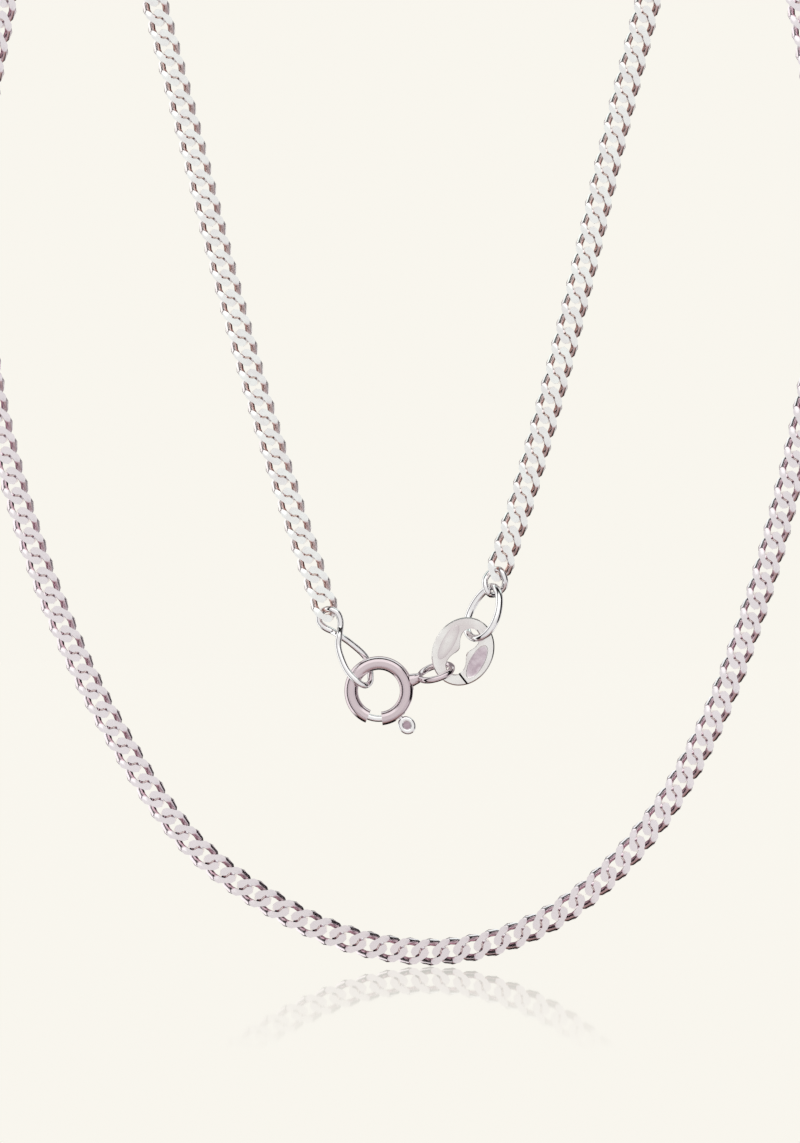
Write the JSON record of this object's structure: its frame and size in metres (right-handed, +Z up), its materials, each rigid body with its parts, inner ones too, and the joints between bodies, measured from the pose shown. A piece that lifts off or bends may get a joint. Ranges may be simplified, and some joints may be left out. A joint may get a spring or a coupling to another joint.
{
  "type": "curb chain necklace",
  "caption": "Fine curb chain necklace with a spring ring clasp, a waisted oval tag ring and small joining rings, held in the form it takes over a round rest.",
  "frame": {"origin": "top of the round rest that the necklace hangs over, midway between its two upper bends", "axes": "+Z up; +X to the right as seen from the front loop; the front loop hangs on the -Y side and the clasp strands on the +Y side"},
  "size_m": [0.0746, 0.0198, 0.1105],
  "materials": {
    "chain_silver": "polished, with bright cut faces",
    "clasp_silver": "polished"
  },
  "bodies": {
    "necklace": {"chain_left": "chain_silver", "chain_right": "chain_silver", "twisted_link": "clasp_silver", "end_link": "chain_silver", "clasp_ring": "clasp_silver", "tag_ring": "clasp_silver", "oval_ring": "clasp_silver"},
    "bolt": {"clasp_bolt": "clasp_silver"}
  },
  "joints": [
    {"name": "bolt_pull", "type": "hinge", "parent": "necklace", "child": "bolt", "pos_m": [-0.0019, 0.00848, -0.086], "axis": [0, -1, 0], "range_deg": [0, 44], "stiffness_Nm_per_rad": 0.0001, "springref_deg": -17.19}
  ]
}
